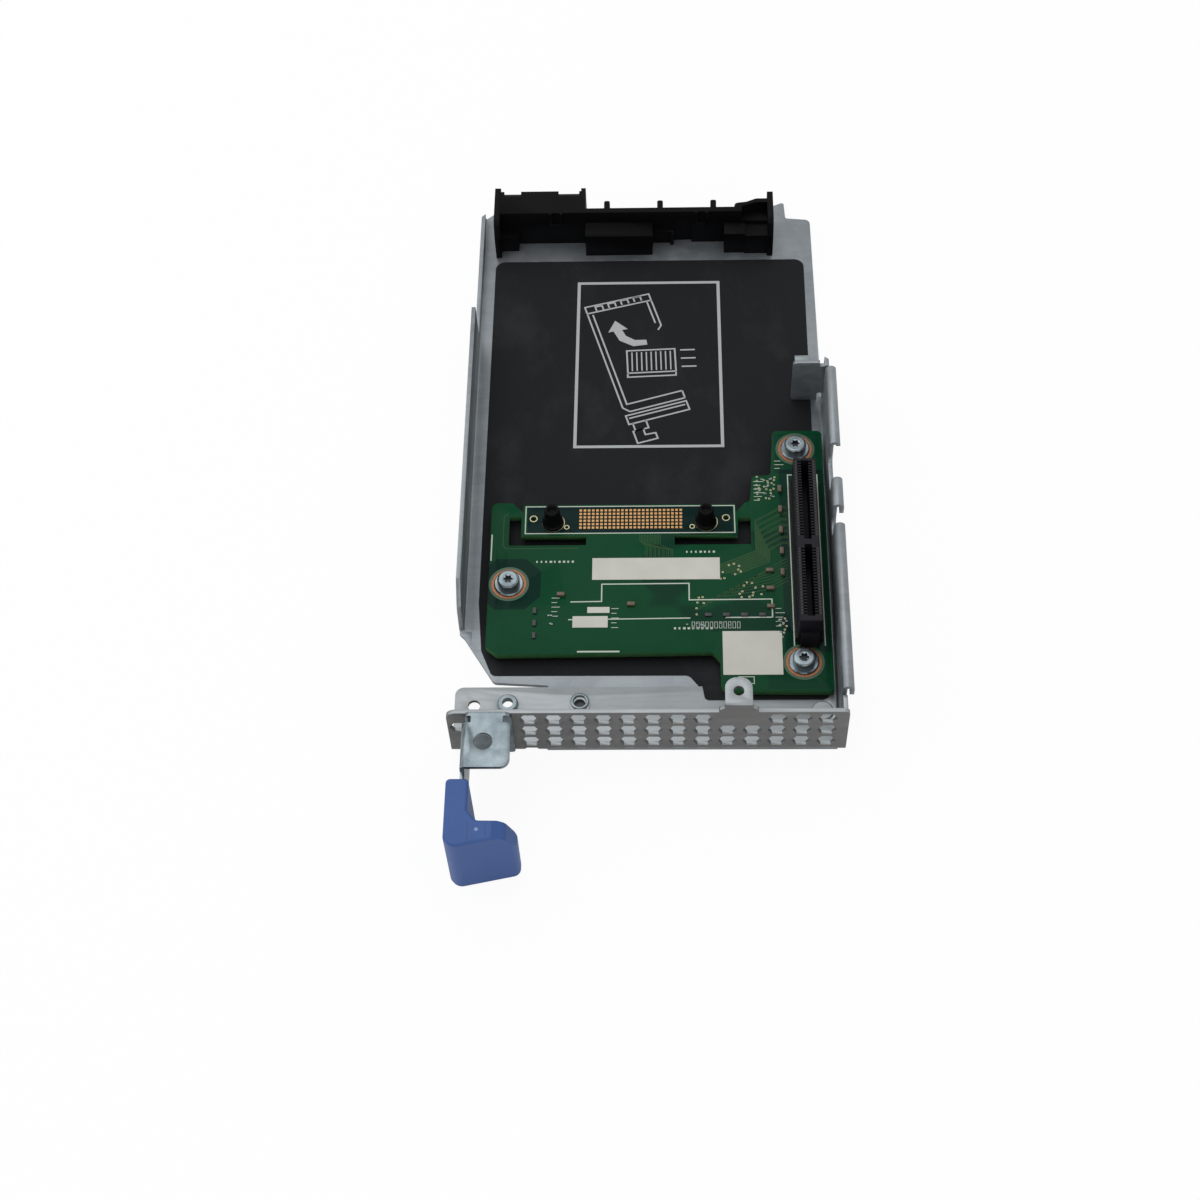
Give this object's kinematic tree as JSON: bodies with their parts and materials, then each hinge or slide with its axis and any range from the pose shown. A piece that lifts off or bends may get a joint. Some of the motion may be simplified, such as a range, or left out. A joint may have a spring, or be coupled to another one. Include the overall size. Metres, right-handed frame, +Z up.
{
  "type": "riser cage bracket",
  "caption": "Folded sheet-metal riser cage with a vented end plate, a small riser board with a card slot, a moulded card guide and a touch-point grip.",
  "frame": {"origin": "middle of the tray floor's underside: centre of its width, 83 mm behind the vented plate's front face", "axes": "+Y along the tray from the vented plate and grip to the card guide, +Z up out of the tray, +X across to the slot side"},
  "size_m": [0.0902, 0.1985, 0.0225],
  "materials": {
    "galvanised_steel": "galvanised, satin",
    "black_film": "matt insulating film",
    "vent_steel": "plain plated steel, darker grey",
    "bright_plate": "bright zinc plate",
    "black_moulding": "satin black moulding",
    "board_green": "green solder mask",
    "copper": "bare copper",
    "gold": "gold flash",
    "slot_plastic": "dark grey moulding",
    "blue_moulding": "blue moulding",
    "white_label": "off-white label",
    "capacitor": "tan ceramic",
    "resistor": "dark ceramic"
  },
  "bodies": {
    "root": {"tray": "galvanised_steel", "insulator_sheet": "black_film", "vent_bracket": "vent_steel", "clinch_nut": "bright_plate", "flange_rivet": "vent_steel", "card_guide": "black_moulding", "riser_board": "board_green", "screw_plating_left": "copper", "screw_plating_rear": "copper", "screw_plating_front": "copper", "board_screw_left": "bright_plate", "board_screw_rear": "bright_plate", "board_screw_front": "bright_plate", "standoff_left": "bright_plate", "standoff_rear": "bright_plate", "standoff_front": "bright_plate", "contact_pads": "gold", "guide_post_left": "black_moulding", "guide_post_right": "black_moulding", "slot_housing": "slot_plastic", "slot_contacts": "copper", "handle_bracket": "bright_plate", "handle_grip": "blue_moulding", "block_label": "white_label", "square_label": "white_label", "small_labels": "white_label", "chip_capacitors": "capacitor", "chip_resistors": "resistor"}
  },
  "joints": []
}
